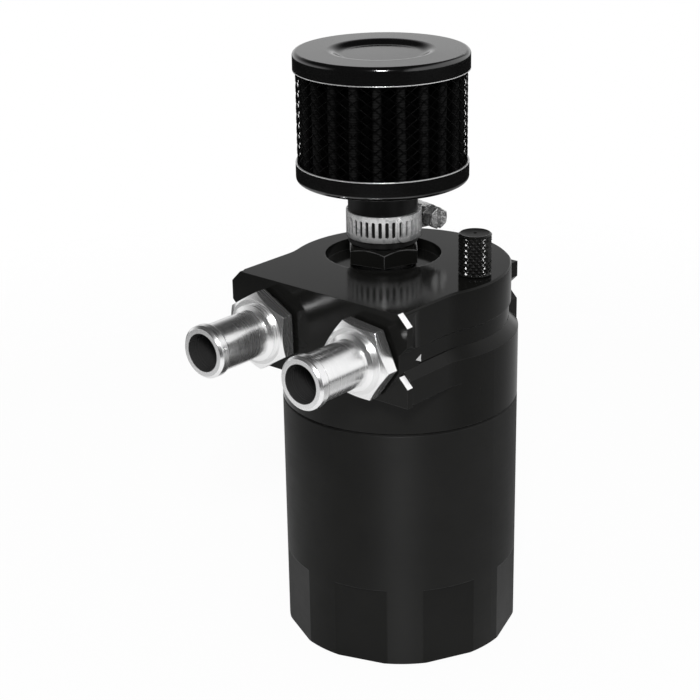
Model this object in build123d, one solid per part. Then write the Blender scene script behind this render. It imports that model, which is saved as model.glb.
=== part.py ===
"""Oil catch can: turned cup, billet head with two hose fittings, breather filter and dipstick."""
from build123d import *
import os
from math import cos, pi, radians, sin, sqrt, tan

# Lengths are in millimetres and angles in degrees. The can's axis is Z, its foot stands on z = 0 and
# the two hose fittings point along -Y.

# Cup
cup_radius = 38.0
cup_height = 80.5
cup_wall = 4.5
cup_floor = 5.0
cup_corner = 4.0
foot_chamfer = 0.3
mouth_wall = 3.3
seal_step = 0.4
seal_depth = 4.6
flat_count = 8
flat_height = 26.5
flat_width = 18.4
flat_clocking = 19.0

# Head: a round lower tier, a waist, and a crown that carries the port block
shoulder_height = 26.1
waist_height = 4.9
crown_height = 12.9
crown_inset = 2.4
crown_side_inset = 2.6
waist_inset = 0.6
shoulder_cut = 3.2
edge_break = 0.5
front_overhang = 1.2
flange_side_step = 2.6
flange_thickness = 2.5
flange_scallop = 10.0
corner_cut = 3.6
notch_drop = 1.8
side_blend = 18.0
block_side_inset = 3.2
block_drop = 11.1
pad_half_width = 18.3
pad_overhang = 0.6
pad_below = 9.6
pad_above = 6.5
pad_cut = 2.8
mount_hole_radius = 2.5
mount_hole_spacing = 20.0
mount_hole_depth = 8.0
crown_roof = 11.4
spigot_wall = 3.6
spigot_depth = 12.2
spigot_tip_gap = 2.3
spigot_chamfer = 1.0
drill_overrun = 0.5

# Seals
seal_section = 1.3
seal_drop = 2.3
seal_groove_side = 0.1
flat_seal_round_share = 0.4

# Baffle plate
baffle_thickness = 2.0
baffle_seat_width = 1.4
baffle_hole_radius = 2.2
baffle_rings = ((12.0, 6), (22.0, 12))

# Hose fittings
port_spacing = 40.0
port_height = 28.3
thread_tip_gap = 2.0
port_bore_depth = 24.0
fitting_reach = 29.2
fitting_thread_radius = 9.0
fitting_thread_length = 12.0
fitting_hex_flats = 22.0
fitting_hex_thickness = 5.0
fitting_seal_thickness = 1.2
fitting_seal_width = 1.7
fitting_clocking = -6.0
collar_radius = 9.0
collar_length = 1.3
tube_radius = 7.5
tube_bore_radius = 6.0
bead_rise = 0.8
bead_length = 3.4
bead_round = 0.6

# Breather adapter in the recess of the crown
breather_x = -9.3
breather_y = 3.4
recess_radius = 18.7
recess_depth = 3.6
adapter_thread_radius = 7.0
adapter_hex_flats = 21.4
adapter_hex_thickness = 5.5
adapter_seal_thickness = 1.8
adapter_seal_width = 3.3
adapter_bore_radius = 5.0
adapter_stub_radius = 9.3
adapter_stub_length = 18.0
adapter_clocking = 11.5
hex_chamfer_angle = 30.0
hex_face_share = 0.95

# Breather filter
neck_gap = 0.85
neck_outer_radius = 11.15
neck_length = 20.1
neck_flange_thickness = 1.6
cap_sheet = 0.5
base_cap_radius = 27.4
base_cap_height = 6.0
top_cap_overlap = 0.3
top_cap_height = 5.8
cap_round = 1.4
dish_outer_radius = 17.0
dish_inner_radius = 12.3
dish_depth = 1.3
mesh_sheet = 0.4
mesh_height = 29.35
mesh_windows = 21
mesh_rows = 4
mesh_window_width = 5.2
mesh_window_height = 5.6
pleat_count = 21
pleat_gap = 1.0
pleat_depth = 4.9
pleat_sheet = 1.3
pleat_crest_share = 0.22

# Worm-drive clamp
clamp_lift = 1.95
band_width = 8.4
band_sheet = 0.6
slot_pitch_count = 34
slot_count = 28
slot_width = 1.1
slot_length = 5.2
tail_start = 30.0
tail_end = 106.0
tail_corner = 2.2
clamp_clocking = 78.0
worm_radius = 2.3
worm_offset = 0.9
housing_length = 9.6
housing_wall = 1.05
saddle_span = 54.0
saddle_sheet = 0.8
saddle_lip = 0.5
screw_collar_length = 1.0
screw_collar_radius = 3.2
screw_head_flats = 6.6
screw_head_length = 3.8
screw_slot_width = 1.2
screw_slot_depth = 1.5

# Dipstick
dipstick_edge = 8.6
dipstick_y = 4.2
knob_radius = 5.2
knob_height = 13.4
knob_chamfer = 0.7
knob_stub_radius = 3.0
knob_stub_length = 12.0
dipstick_seal_thickness = 1.5
dipstick_seal_width = 1.3
rod_radius = 1.8
rod_foot_gap = 3.0
rod_socket = 6.0

# Clearances
seat_clearance = 0.05
thread_clearance = 0.1
slip_clearance = 0.15
free_clearance = 0.3
pass_clearance = 0.6

# Heights and radii that follow from the sizes above
bore_radius = cup_radius - cup_wall
mouth_radius = cup_radius - mouth_wall
seal_radius = mouth_radius + seal_step
ledge_z = cup_height - spigot_depth - spigot_tip_gap
crown_radius = cup_radius - crown_inset
crown_half_width = crown_radius - crown_side_inset
flange_half_width = crown_half_width + flange_side_step
block_half_width = cup_radius - block_side_inset
front_reach = cup_radius + front_overhang
pad_reach = cup_radius + pad_overhang
waist_z = cup_height + shoulder_height
crown_z = waist_z + waist_height
top_z = crown_z + crown_height
block_z = waist_z - block_drop
notch_z = waist_z - notch_drop
notch_depth = flange_half_width - crown_half_width + waist_inset
flange_back_y = flange_thickness - front_reach
pad_top_z = crown_z + pad_above
pad_bottom_z = waist_z - pad_below
spigot_radius = mouth_radius - free_clearance
spigot_z = cup_height - spigot_depth
cavity_radius = spigot_radius - spigot_wall
baffle_seat_radius = cavity_radius + baffle_seat_width
seal_z = cup_height - seal_drop
port_z = cup_height + port_height
port_thread_depth = fitting_thread_length + thread_tip_gap
bead_radius = tube_radius + bead_rise
recess_z = top_z - recess_depth
adapter_hex_z = recess_z + adapter_seal_thickness
neck_z = adapter_hex_z + adapter_hex_thickness + neck_gap
base_cap_z = neck_z + neck_length
mesh_z = base_cap_z + base_cap_height
top_cap_z = mesh_z + mesh_height
filter_top_z = top_cap_z + top_cap_height
top_cap_radius = base_cap_radius + top_cap_overlap
neck_bore_radius = adapter_stub_radius + slip_clearance
neck_flange_radius = base_cap_radius - cap_round - cap_sheet
mesh_radius = base_cap_radius - cap_sheet - seat_clearance
pleat_outer_radius = mesh_radius - mesh_sheet - pleat_gap
pleat_inner_radius = pleat_outer_radius - pleat_depth
band_inner_radius = neck_outer_radius + seat_clearance
band_outer_radius = band_inner_radius + band_sheet
tail_outer_radius = band_outer_radius + band_sheet
band_z = neck_z + clamp_lift
worm_axis_radius = band_outer_radius + worm_offset + worm_radius
housing_bore_radius = worm_radius + free_clearance
housing_radius = housing_bore_radius + housing_wall
saddle_radius = band_outer_radius + seat_clearance
dipstick_x = crown_radius - dipstick_edge

MIN_Z = (Align.CENTER, Align.CENTER, Align.MIN)
MAX_Z = (Align.CENTER, Align.CENTER, Align.MAX)
breather_axis = Pos(breather_x, breather_y)
dipstick_axis = Pos(dipstick_x, dipstick_y)


def turned(points):
    """Solid of revolution about Z from (radius, height) points."""
    return revolve(Plane.XZ * make_face(Polyline(*points, close=True)), Axis.Z)


def prism_along_y(points, y_low, y_high):
    """Prism with an (x, z) outline that runs from y_low to y_high."""
    plane = Plane.XZ.offset(-y_high)
    return extrude(plane * make_face(Polyline(*points, close=True)), amount=y_high - y_low)


def mirrored(points):
    """Closed outline symmetric about x = 0 from its right half, listed upwards."""
    return list(points) + [(-x, z) for x, z in reversed(points)]


def rim(part, radius, height):
    """Circular edges of the given radius at the given height."""
    circles = part.edges().filter_by(GeomType.CIRCLE)
    return circles.filter_by(lambda e: abs(e.radius - radius) < 1e-3 and abs(e.center().Z - height) < 1e-3)


def ring(inner, outer, height):
    """Flat ring that stands on z = 0."""
    return Cylinder(outer, height, align=MIN_Z) - Cylinder(inner, height, align=MIN_Z)


def squashed_o_ring(inner, width, thickness):
    """O-ring pressed between two faces: a ring with rounded flanks that stands on z = 0."""
    seal = ring(inner, inner + width, thickness)
    edges = rim(seal, inner + width, 0) + rim(seal, inner + width, thickness)
    return fillet(edges, flat_seal_round_share * thickness)


def chamfered_hex(flats, thickness):
    """Hexagon that stands on z = 0, with its upper corners turned off to a cone."""
    corner = flats / sqrt(3)
    face = hex_face_share * flats / 2
    drop = (corner - face) * tan(radians(hex_chamfer_angle))
    cone = turned([(0, 0), (corner, 0), (corner, thickness - drop), (face, thickness), (0, thickness)])
    return extrude(RegularPolygon(corner, 6), amount=thickness) & cone


# Cup

def make_cup():
    """Turned cup with a wider mouth for the spigot, a seal seat and wrench flats round its foot."""
    outside = [
        (0, 0),
        (cup_radius - foot_chamfer, 0),
        (cup_radius, foot_chamfer),
        (cup_radius, cup_height - edge_break),
        (cup_radius - edge_break, cup_height),
    ]
    inside = [
        (seal_radius, cup_height),
        (seal_radius, cup_height - seal_depth),
        (mouth_radius, cup_height - seal_depth - (seal_radius - mouth_radius)),
        (mouth_radius, ledge_z),
        (bore_radius, ledge_z),
        (bore_radius, cup_floor),
        (0, cup_floor),
    ]
    cup = turned(outside + inside)
    cup = fillet(rim(cup, bore_radius, cup_floor), cup_corner)
    flat_distance = sqrt(cup_radius ** 2 - (flat_width / 2) ** 2)
    cutter = Pos(flat_distance) * Box(
        cup_radius, flat_width, flat_height, align=(Align.MIN, Align.CENTER, Align.MIN)
    )
    for step in range(flat_count):
        cup -= Rot(0, 0, flat_clocking + step * 360 / flat_count) * cutter
    return cup


# Head

def tier_outline(radius, half_width):
    """Plan of one tier: a disc with a straight-sided block behind the flange, blended where they meet."""
    block = Pos(0, flange_back_y / 2) * Rectangle(2 * half_width, -flange_back_y)
    plan = Circle(radius) + block
    meeting_y = -sqrt(radius ** 2 - half_width ** 2)
    corners = plan.vertices().filter_by(lambda v: abs(v.Y - meeting_y) < 1e-3)
    return fillet(corners, side_blend)


def side_edges(part, height):
    """Edges at the given height, apart from those along the back of the flange."""
    level = part.edges().filter_by(lambda e: abs(e.center().Z - height) < 1e-3)
    return level.filter_by(lambda e: e.center().Y > flange_back_y + 1e-3)


def make_lower_tier():
    """Round lower tier with a turned shoulder, which goes on round the lower half of the port block."""
    drum = turned([
        (0, cup_height),
        (cup_radius - edge_break, cup_height),
        (cup_radius, cup_height + edge_break),
        (cup_radius, waist_z - shoulder_cut),
        (cup_radius - shoulder_cut, waist_z),
        (0, waist_z),
    ])
    plan = tier_outline(cup_radius, block_half_width)
    block = Pos(0, 0, block_z) * extrude(plan, amount=block_drop)
    return drum + chamfer(side_edges(block, waist_z), shoulder_cut)


def make_crown():
    """Upper tier, with its lower edge cut back to the waist."""
    plan = tier_outline(crown_radius, crown_half_width)
    crown = Pos(0, 0, crown_z) * extrude(plan, amount=crown_height)
    crown = chamfer(side_edges(crown, crown_z), waist_inset)
    return chamfer(side_edges(crown, top_z), edge_break)


def make_flange():
    """Front plate of the port block: cut corners, a notch at the waist, scallops into the block's sides."""
    outline = mirrored([
        (flange_half_width, block_z),
        (flange_half_width, notch_z - notch_depth),
        (flange_half_width - notch_depth, notch_z),
        (flange_half_width - notch_depth, crown_z),
        (flange_half_width, crown_z + notch_depth),
        (flange_half_width, top_z - corner_cut),
        (flange_half_width - corner_cut, top_z),
    ])
    rise = flange_half_width - crown_half_width
    scallop_y = flange_back_y + sqrt(flange_scallop ** 2 - (flange_scallop - rise) ** 2)
    half = Polyline(
        (crown_half_width, scallop_y),
        (0, scallop_y),
        (0, -front_reach),
        (flange_half_width, -front_reach),
        (flange_half_width, flange_back_y),
    )
    half += TangentArc((crown_half_width, scallop_y), (flange_half_width, flange_back_y), tangent=(0, -1))
    plan = make_face(half)
    plan += mirror(plan, Plane.YZ)
    plate = Pos(0, 0, block_z) * extrude(plan, amount=top_z - block_z)
    return plate & prism_along_y(outline, -front_reach, scallop_y)


def make_rear_pad():
    """Mounting pad at the back with the same waist as the sides."""
    outline = mirrored([
        (pad_half_width, pad_bottom_z),
        (pad_half_width, waist_z - pad_cut / 2),
        (pad_half_width - pad_cut, waist_z + pad_cut / 2),
        (pad_half_width - pad_cut, crown_z - pad_cut / 2),
        (pad_half_width, crown_z + pad_cut / 2),
        (pad_half_width, pad_top_z),
    ])
    return prism_along_y(outline, 0, pad_reach)


def make_head():
    """Billet head: tiers, port block and pad outside, a cavity and bores inside, and the spigot below."""
    waist = tier_outline(crown_radius - waist_inset, crown_half_width - waist_inset)
    head = make_lower_tier()
    head += Pos(0, 0, waist_z) * extrude(waist, amount=waist_height)
    head += make_crown()
    head += make_flange()
    head += make_rear_pad()
    groove_radius = seal_radius - free_clearance - 2 * seal_section - seat_clearance
    groove_half = seal_section + seal_groove_side
    head += turned([
        (0, spigot_z),
        (spigot_radius - spigot_chamfer, spigot_z),
        (spigot_radius, spigot_z + spigot_chamfer),
        (spigot_radius, seal_z - groove_half),
        (groove_radius, seal_z - groove_half),
        (groove_radius, seal_z + groove_half),
        (spigot_radius, seal_z + groove_half),
        (spigot_radius, cup_height),
        (0, cup_height),
    ])
    head -= Pos(0, 0, spigot_z) * Cylinder(cavity_radius, top_z - crown_roof - spigot_z, align=MIN_Z)
    head -= Pos(0, 0, spigot_z) * Cylinder(baffle_seat_radius, baffle_thickness, align=MIN_Z)
    port = Cylinder(fitting_thread_radius + thread_clearance, port_thread_depth, align=MAX_Z)
    port += Cylinder(tube_bore_radius, port_bore_depth, align=MAX_Z)
    port = Rot(90, 0, 0) * port
    for side in (-1, 1):
        head -= Pos(side * port_spacing / 2, -front_reach, port_z) * port
    hole = Rot(90, 0, 0) * Cylinder(mount_hole_radius, mount_hole_depth, align=MIN_Z)
    for side in (-1, 1):
        head -= Pos(side * mount_hole_spacing / 2, pad_reach, (waist_z + crown_z) / 2) * hole
    head -= breather_axis * Pos(0, 0, recess_z) * Cylinder(recess_radius, recess_depth, align=MIN_Z)
    head -= breather_axis * Pos(0, 0, top_z) * Cylinder(
        adapter_thread_radius + thread_clearance, crown_roof + drill_overrun, align=MAX_Z
    )
    head -= dipstick_axis * Pos(0, 0, top_z) * Cylinder(
        knob_stub_radius + free_clearance, crown_roof + drill_overrun, align=MAX_Z
    )
    seat_radius = knob_stub_radius + dipstick_seal_width + free_clearance
    head -= dipstick_axis * Pos(0, 0, top_z) * Cylinder(seat_radius, dipstick_seal_thickness, align=MAX_Z)
    return head


def make_cup_o_ring():
    """O-ring in the groove of the spigot."""
    major = seal_radius - free_clearance - seal_section
    return Pos(0, 0, seal_z) * Torus(major, seal_section)


def make_baffle():
    """Perforated disc pressed into the end of the spigot, with a hole for the dipstick."""
    plate = Cylinder(baffle_seat_radius - seat_clearance, baffle_thickness, align=MIN_Z)
    drill = Cylinder(baffle_hole_radius, baffle_thickness, align=MIN_Z)
    plate -= drill
    for circle_radius, count in baffle_rings:
        for place in PolarLocations(circle_radius, count):
            plate -= place * drill
    plate -= dipstick_axis * Cylinder(rod_radius + pass_clearance, baffle_thickness, align=MIN_Z)
    return Pos(0, 0, spigot_z) * plate


# Hose fittings

def make_fitting(side):
    """Hose fitting of one port: thread, seal neck, hex, collar and a tube with a rolled bead at its tip."""
    hex_end = fitting_seal_thickness + fitting_hex_thickness
    tube = turned([
        (0, fitting_seal_thickness),
        (collar_radius, fitting_seal_thickness),
        (collar_radius, hex_end + collar_length),
        (tube_radius, hex_end + collar_length + (collar_radius - tube_radius) / 2),
        (tube_radius, fitting_reach - bead_length - bead_rise),
        (bead_radius, fitting_reach - bead_length),
        (bead_radius, fitting_reach - bead_rise),
        (tube_radius, fitting_reach),
        (0, fitting_reach),
    ])
    bead_edges = rim(tube, bead_radius, fitting_reach - bead_length)
    bead_edges += rim(tube, bead_radius, fitting_reach - bead_rise)
    thread_span = fitting_thread_length + fitting_seal_thickness
    body = fillet(bead_edges, bead_round)
    body += Pos(0, 0, -fitting_thread_length) * Cylinder(fitting_thread_radius, thread_span, align=MIN_Z)
    nut = Rot(0, 0, fitting_clocking) * chamfered_hex(fitting_hex_flats, fitting_hex_thickness)
    body += Pos(0, 0, fitting_seal_thickness) * nut
    length = fitting_thread_length + fitting_reach
    body -= Pos(0, 0, -fitting_thread_length) * Cylinder(tube_bore_radius, length, align=MIN_Z)
    return Pos(side * port_spacing / 2, -front_reach, port_z) * Rot(90, 0, 0) * body


def make_fitting_o_ring(side):
    """O-ring between a fitting's hex and the port face."""
    seal = squashed_o_ring(
        fitting_thread_radius + seat_clearance, fitting_seal_width, fitting_seal_thickness
    )
    return Pos(side * port_spacing / 2, -front_reach, port_z) * Rot(90, 0, 0) * seal


# Breather

def make_breather_adapter():
    """Hex adapter screwed into the recess, with a stub for the filter's neck."""
    hex_end = adapter_seal_thickness + adapter_hex_thickness
    thread_length = crown_roof - recess_depth
    body = turned([
        (0, -thread_length),
        (adapter_thread_radius, -thread_length),
        (adapter_thread_radius, adapter_seal_thickness),
        (adapter_stub_radius, hex_end),
        (adapter_stub_radius, hex_end + adapter_stub_length),
        (0, hex_end + adapter_stub_length),
    ])
    nut = Rot(0, 0, adapter_clocking) * chamfered_hex(adapter_hex_flats, adapter_hex_thickness)
    body += Pos(0, 0, adapter_seal_thickness) * nut
    length = thread_length + hex_end + adapter_stub_length
    body -= Pos(0, 0, -thread_length) * Cylinder(adapter_bore_radius, length, align=MIN_Z)
    return breather_axis * Pos(0, 0, recess_z) * body


def make_breather_o_ring():
    """O-ring between the adapter's hex and the floor of the recess."""
    seal = squashed_o_ring(
        adapter_thread_radius + seat_clearance, adapter_seal_width, adapter_seal_thickness
    )
    return breather_axis * Pos(0, 0, recess_z) * seal


def make_filter_neck():
    """Rubber sleeve that grips the adapter, with a flange inside the filter's base cap."""
    flange_z = neck_length + cap_sheet
    neck = turned([
        (neck_bore_radius, 0),
        (neck_outer_radius, 0),
        (neck_outer_radius, flange_z),
        (neck_flange_radius, flange_z),
        (neck_flange_radius, flange_z + neck_flange_thickness),
        (neck_bore_radius, flange_z + neck_flange_thickness),
    ])
    return breather_axis * Pos(0, 0, neck_z) * neck


def make_base_cap():
    """Pressed lower cap of the filter, a shallow dish with a hole for the neck."""
    hole = neck_outer_radius + seat_clearance
    cap = turned([
        (hole, 0),
        (base_cap_radius, 0),
        (base_cap_radius, base_cap_height),
        (base_cap_radius - cap_sheet, base_cap_height),
        (base_cap_radius - cap_sheet, cap_sheet),
        (hole, cap_sheet),
    ])
    cap = fillet(rim(cap, base_cap_radius - cap_sheet, cap_sheet), cap_round - cap_sheet)
    cap = fillet(rim(cap, base_cap_radius, 0), cap_round)
    return breather_axis * Pos(0, 0, base_cap_z) * cap


def dish_slope(level):
    """Smooth step of the top cap from the given level down to the floor of its dish."""
    middle = ((dish_outer_radius + dish_inner_radius) / 2, level - dish_depth / 2)
    step = TangentArc((dish_outer_radius, level), middle, tangent=(-1, 0))
    return step + TangentArc((dish_inner_radius, level - dish_depth), middle, tangent=(1, 0))


def make_top_cap():
    """Pressed top cap of the filter: rounded edge, and a shallow round dish that its top blends into."""
    height = top_cap_height
    inner_top = height - cap_sheet
    inner_radius = top_cap_radius - cap_sheet
    profile = Polyline(
        (dish_outer_radius, inner_top),
        (inner_radius, inner_top),
        (inner_radius, 0),
        (top_cap_radius, 0),
        (top_cap_radius, height),
        (dish_outer_radius, height),
    )
    profile += dish_slope(height)
    profile += Polyline(
        (dish_inner_radius, height - dish_depth),
        (0, height - dish_depth),
        (0, inner_top - dish_depth),
        (dish_inner_radius, inner_top - dish_depth),
    )
    profile += dish_slope(inner_top)
    cap = revolve(Plane.XZ * make_face(profile), Axis.Z)
    cap = fillet(rim(cap, inner_radius, inner_top), cap_round - cap_sheet)
    cap = fillet(rim(cap, top_cap_radius, height), cap_round)
    return breather_axis * Pos(0, 0, top_cap_z) * cap


def pleat_line(crest, root):
    """Closed zigzag with a flat crest and a flat root on every pleat."""
    pitch = 2 * pi / pleat_count
    flat = pleat_crest_share * pitch / 2
    points = []
    for pleat in range(pleat_count):
        middle = pleat * pitch
        corners = [(-flat, crest), (flat, crest), (pitch / 2 - flat, root), (pitch / 2 + flat, root)]
        for offset, radius in corners:
            points.append((radius * cos(middle + offset), radius * sin(middle + offset)))
    return make_face(Polyline(*points, close=True))


def make_media():
    """Folded filter paper: one zigzag sheet closed to a ring."""
    bottom = base_cap_z + cap_sheet + neck_flange_thickness + seat_clearance
    top = filter_top_z - cap_sheet - seat_clearance
    sheet = pleat_line(pleat_outer_radius, pleat_inner_radius + pleat_sheet)
    sheet -= pleat_line(pleat_outer_radius - pleat_sheet, pleat_inner_radius)
    return breather_axis * Pos(0, 0, bottom) * extrude(sheet, amount=top - bottom)


def make_mesh():
    """Mesh sleeve round the pleats, with rows of diamond windows set out in turn."""
    bottom = base_cap_z + cap_round + cap_sheet
    top = filter_top_z - cap_round - cap_sheet
    sleeve = Pos(0, 0, bottom - mesh_z) * ring(mesh_radius - mesh_sheet, mesh_radius, top - bottom)
    half_width = mesh_window_width / 2
    half_height = mesh_window_height / 2
    diamond = make_face(Polyline(
        (half_width, 0), (0, half_height), (-half_width, 0), (0, -half_height), close=True
    ))
    window = extrude(Plane.YZ * diamond, amount=mesh_radius + mesh_sheet)
    row_pitch = mesh_height / mesh_rows
    step = 360 / mesh_windows
    windows = []
    for row in range(mesh_rows):
        shift = step / 2 * (row % 2)
        for place in range(mesh_windows):
            windows.append(Rot(0, 0, place * step + shift) * Pos(0, 0, (row + 0.5) * row_pitch) * window)
    return breather_axis * Pos(0, 0, mesh_z) * (sleeve - windows)


# Worm-drive clamp

def clamp_place():
    """Middle of the clamp: +Y points out through the worm housing and +X along the screw to its head."""
    return breather_axis * Pos(0, 0, band_z + band_width / 2) * Rot(0, 0, clamp_clocking - 90)


def make_band_tail():
    """Free end of the band, which lies over the band's first turn and has rounded corners."""
    inner = band_outer_radius - band_sheet / 2
    section = Pos(inner) * Rectangle(
        tail_outer_radius - inner, band_width, align=(Align.MIN, Align.CENTER)
    )
    tail = revolve(Plane.XZ * section, Axis.Z, revolution_arc=tail_end - tail_start)
    tip = tail.faces().filter_by(GeomType.PLANE).sort_by(Axis.Y)[0]
    corners = tip.edges().filter_by(lambda e: abs(e.length - (tail_outer_radius - inner)) < 1e-3)
    return Rot(0, 0, 90 - tail_end) * fillet(corners, tail_corner)


def make_clamp_band():
    """Steel band with a row of slots, which leaves the stretch under the housing whole."""
    band = Pos(0, 0, -band_width / 2) * ring(band_inner_radius, band_outer_radius, band_width)
    band += make_band_tail()
    outline = Plane.YZ * SlotOverall(slot_length, slot_width, rotation=90)
    slot = extrude(outline, amount=tail_outer_radius + band_sheet)
    first = 270 - (slot_count - 1) * 180 / slot_pitch_count
    slots = [Rot(0, 0, first + step * 360 / slot_pitch_count) * slot for step in range(slot_count)]
    return clamp_place() * (band - slots)


def make_clamp_housing():
    """Arch over the worm, on a saddle plate that wraps the band and stands out beyond its edges."""
    arch = Pos(worm_axis_radius, 0) * Circle(housing_radius)
    arch += Rectangle(worm_axis_radius, 2 * housing_radius, align=(Align.MIN, Align.CENTER))
    housing = Pos(-housing_length / 2) * extrude(Plane.YZ * arch, amount=housing_length)
    housing -= Cylinder(saddle_radius, 4 * housing_radius)
    section = Pos(saddle_radius) * Rectangle(
        saddle_sheet, band_width + 2 * saddle_lip, align=(Align.MIN, Align.CENTER)
    )
    plate = revolve(Plane.XZ * section, Axis.Z, revolution_arc=saddle_span)
    housing += Rot(0, 0, 90 - saddle_span / 2) * plate
    bore = Rot(0, 90, 0) * Cylinder(housing_bore_radius, 2 * housing_length)
    return clamp_place() * (housing - Pos(0, worm_axis_radius) * bore)


def make_clamp_screw():
    """Worm screw with a collar and a slotted hex head."""
    start = -housing_length / 2
    collar_x = housing_length / 2 + free_clearance
    head_x = collar_x + screw_collar_length
    screw = Pos(0, 0, start) * Cylinder(worm_radius, collar_x - start, align=MIN_Z)
    screw += Pos(0, 0, collar_x) * Cylinder(screw_collar_radius, screw_collar_length, align=MIN_Z)
    screw += Pos(0, 0, head_x) * chamfered_hex(screw_head_flats, screw_head_length)
    slot = Box(2 * screw_head_flats, screw_slot_width, screw_slot_depth, align=MAX_Z)
    screw -= Pos(0, 0, head_x + screw_head_length) * slot
    return clamp_place() * Pos(0, worm_axis_radius, 0) * Rot(0, 90, 0) * screw


# Dipstick

def make_knob():
    """Dipstick knob with a chamfered grip, and the stub that screws into the crown."""
    knob = turned([
        (0, -knob_stub_length),
        (knob_stub_radius, -knob_stub_length),
        (knob_stub_radius, 0),
        (knob_radius - knob_chamfer, 0),
        (knob_radius, knob_chamfer),
        (knob_radius, knob_height - knob_chamfer),
        (knob_radius - knob_chamfer, knob_height),
        (0, knob_height),
    ])
    knob -= Pos(0, 0, -knob_stub_length) * Cylinder(rod_radius + seat_clearance, rod_socket, align=MIN_Z)
    return dipstick_axis * Pos(0, 0, top_z) * knob


def make_dipstick_o_ring():
    """O-ring in the seat under the knob."""
    seal = squashed_o_ring(
        knob_stub_radius + seat_clearance, dipstick_seal_width, dipstick_seal_thickness
    )
    return dipstick_axis * Pos(0, 0, top_z - dipstick_seal_thickness) * seal


def make_rod():
    """Dipstick rod from the socket in the knob down to just above the cup's floor."""
    top = top_z - knob_stub_length + rod_socket
    bottom = cup_floor + rod_foot_gap
    rod = Cylinder(rod_radius, top - bottom, align=MIN_Z)
    return dipstick_axis * Pos(0, 0, bottom) * rod


NODES = {
    "cup": make_cup(),
    "head": make_head(),
    "cup_o_ring": make_cup_o_ring(),
    "baffle_plate": make_baffle(),
    "inlet_fitting": make_fitting(-1),
    "outlet_fitting": make_fitting(1),
    "inlet_o_ring": make_fitting_o_ring(-1),
    "outlet_o_ring": make_fitting_o_ring(1),
    "breather_adapter": make_breather_adapter(),
    "breather_o_ring": make_breather_o_ring(),
    "filter_neck": make_filter_neck(),
    "filter_base_cap": make_base_cap(),
    "filter_top_cap": make_top_cap(),
    "filter_media": make_media(),
    "filter_mesh": make_mesh(),
    "clamp_band": make_clamp_band(),
    "clamp_housing": make_clamp_housing(),
    "clamp_screw": make_clamp_screw(),
    "dipstick_knob": make_knob(),
    "dipstick_o_ring": make_dipstick_o_ring(),
    "dipstick_rod": make_rod(),
}

os.makedirs("parts", exist_ok=True)
for name, node in NODES.items():
    export_step(node, f"parts/{name}.step")
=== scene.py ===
"""Oil catch can: finishes, wire mesh, pleats, knurl, threads and a plain studio round the CAD frame."""

import logging
import math
from dataclasses import dataclass
from enum import Enum

import bpy
from mathutils import Matrix, Vector


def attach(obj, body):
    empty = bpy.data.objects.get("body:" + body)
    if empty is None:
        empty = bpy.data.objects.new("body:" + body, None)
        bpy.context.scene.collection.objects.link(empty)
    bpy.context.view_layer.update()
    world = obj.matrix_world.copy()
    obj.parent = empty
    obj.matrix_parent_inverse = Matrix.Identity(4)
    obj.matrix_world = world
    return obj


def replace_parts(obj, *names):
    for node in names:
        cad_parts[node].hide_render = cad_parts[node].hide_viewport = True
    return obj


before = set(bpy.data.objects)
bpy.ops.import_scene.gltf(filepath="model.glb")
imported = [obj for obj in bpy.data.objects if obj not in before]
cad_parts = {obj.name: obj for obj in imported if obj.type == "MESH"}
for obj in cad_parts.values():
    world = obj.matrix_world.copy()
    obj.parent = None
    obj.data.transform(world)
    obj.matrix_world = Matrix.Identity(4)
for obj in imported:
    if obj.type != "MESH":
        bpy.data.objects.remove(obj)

log = logging.getLogger("catch_can")

Point = tuple[float, float, float]
Pair = tuple[float, float]
Colour = tuple[float, float, float, float]
Socket = bpy.types.NodeSocket

MM = 0.001
TURN = 2 * math.pi
FULL = (0.0, 1.0)
NOISE = (0.3, 0.7)  # usual range of one noise pattern
TWO_NOISES = (0.7, 1.3)  # usual range of the sum of two
BEVEL_SAMPLES = 6
FLAT = 0.999  # two directions that agree this well belong to a flat face
WAVE_RATE = 20  # radians that a wave pattern advances per unit of its scale


class Body(Enum):
    """Bodies of the can that carry new pieces."""

    CUP = "cup"
    HEAD = "head"
    DIPSTICK = "dipstick"
    FILTER = "filter"


class Slot(Enum):
    """Material slots of the record."""

    BLACK = "black_anodised"
    ALUMINIUM = "bare_aluminium"
    STEEL = "clamp_steel"
    RUBBER = "rubber"
    CAP = "black_cap"
    MESH = "black_mesh"
    PAPER = "filter_paper"


class Grain(Enum):
    """Direction that tool marks run across: the axis along which they follow each other."""

    X = (1.0, 0.01, 0.01)
    Y = (0.01, 1.0, 0.01)
    Z = (0.01, 0.01, 1.0)
    NONE = (1.0, 1.0, 1.0)


def grey(level: float, warmth: float = 1.0) -> Colour:
    """Neutral colour of the given level, with its blue scaled by the warmth."""
    return (level, level, level * warmth, 1.0)


def metres(lengths: Pair) -> Pair:
    """Two lengths in millimetres, as metres."""
    return (lengths[0] * MM, lengths[1] * MM)


def polar(centre: Pair, radius: float, angle: float, height: float) -> Point:
    """Point at an angle round an upright axis."""
    return (centre[0] + radius * math.cos(angle), centre[1] + radius * math.sin(angle), height)


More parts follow.
